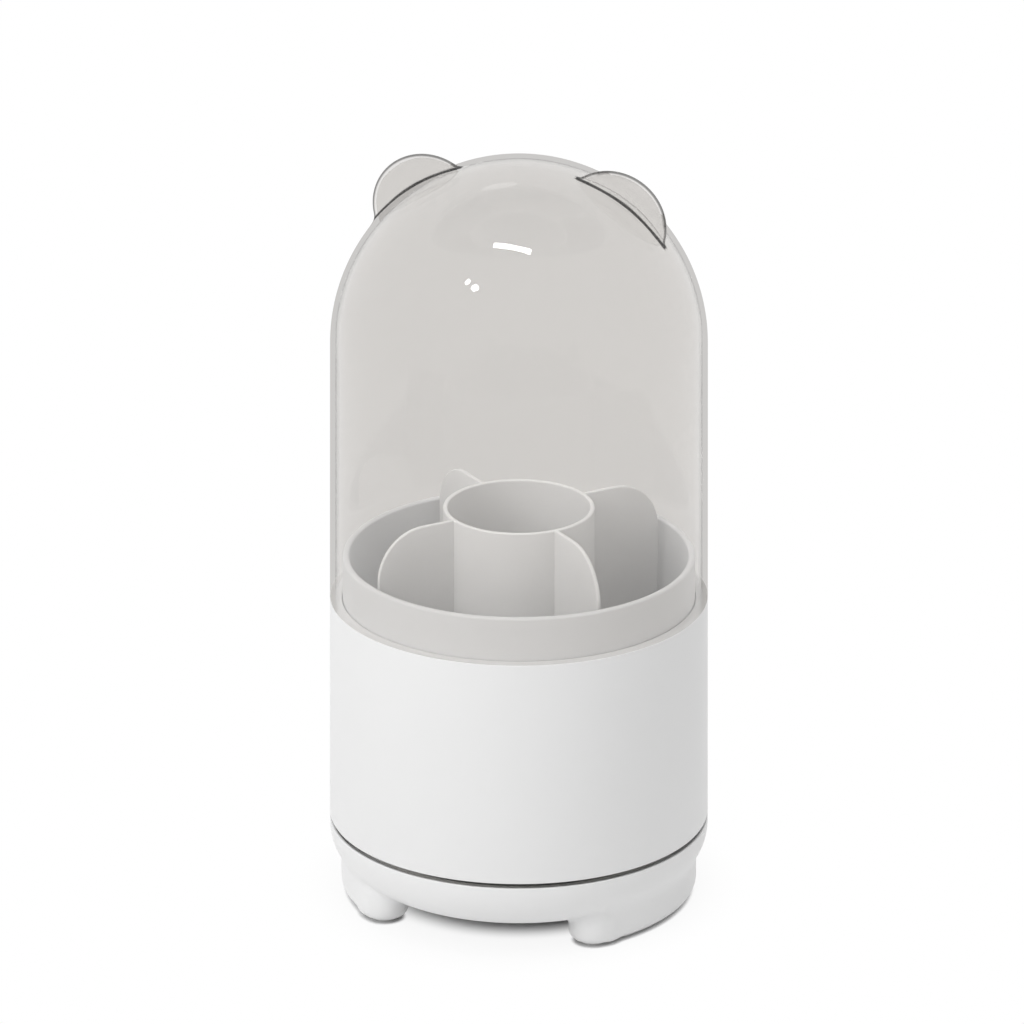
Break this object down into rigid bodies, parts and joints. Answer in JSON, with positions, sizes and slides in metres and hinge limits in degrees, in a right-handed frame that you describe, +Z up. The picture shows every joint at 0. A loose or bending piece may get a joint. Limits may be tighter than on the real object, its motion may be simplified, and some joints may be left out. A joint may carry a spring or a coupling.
{
  "type": "rotating makeup brush holder",
  "caption": "Round desktop brush holder: turning white drum with a cup and fins inside, lift-off clear domed cover with round ears, low base with toes and a ball turntable.",
  "frame": {"origin": "on the ground plane under the foot pads, on the drum's axis of rotation", "axes": "+Z up along the axis of rotation, front towards -Y, ears to -X and +X"},
  "size_m": [0.1428, 0.1428, 0.2896],
  "materials": {
    "clear_tinted": "clear, lightly grey-tinted, polished",
    "white_shell": "satin white moulded plastic",
    "race_acetal": "plain acetal",
    "cage_nylon": "dark nylon",
    "ball_steel": "polished bearing steel",
    "zinc_steel": "zinc-plated",
    "pad_silicone": "matt translucent white silicone"
  },
  "bodies": {
    "base": {"base_housing": "white_shell", "lower_race": "race_acetal", "pivot_bush": "race_acetal", "underside_plate": "white_shell", "underside_screws": "zinc_steel", "foot_pad_front_left": "pad_silicone", "foot_pad_front_right": "pad_silicone", "foot_pad_back_left": "pad_silicone", "foot_pad_back_right": "pad_silicone"},
    "ball_ring": {"ball_cage": "cage_nylon", "bearing_balls": "ball_steel"},
    "barrel": {"outer_sleeve": "white_shell", "inner_bucket": "white_shell", "turntable_plate": "white_shell", "bucket_screws": "zinc_steel", "upper_race": "race_acetal", "pivot_washer": "zinc_steel", "pivot_screw": "zinc_steel"},
    "divider": {"divider_insert": "white_shell"},
    "cover": {"dust_cover": "clear_tinted"}
  },
  "joints": [
    {"name": "drum_spin", "type": "hinge", "parent": "base", "child": "barrel", "pos_m": [0, 0, 0.031], "axis": [0, 0, 1], "continuous": true},
    {"name": "cage_spin", "type": "hinge", "parent": "base", "child": "ball_ring", "pos_m": [0, 0, 0.0293], "axis": [0, 0, 1], "continuous": true},
    {"name": "cover_lift", "type": "slide", "parent": "barrel", "child": "cover", "axis": [0, 0, 1], "range_m": [0, 0.13]},
    {"name": "divider_lift", "type": "slide", "parent": "barrel", "child": "divider", "axis": [0, 0, 1], "range_m": [0, 0.102]}
  ],
  "couplings": [
    {"joint": "cage_spin", "follows": "drum_spin", "ratio": 0.5}
  ]
}
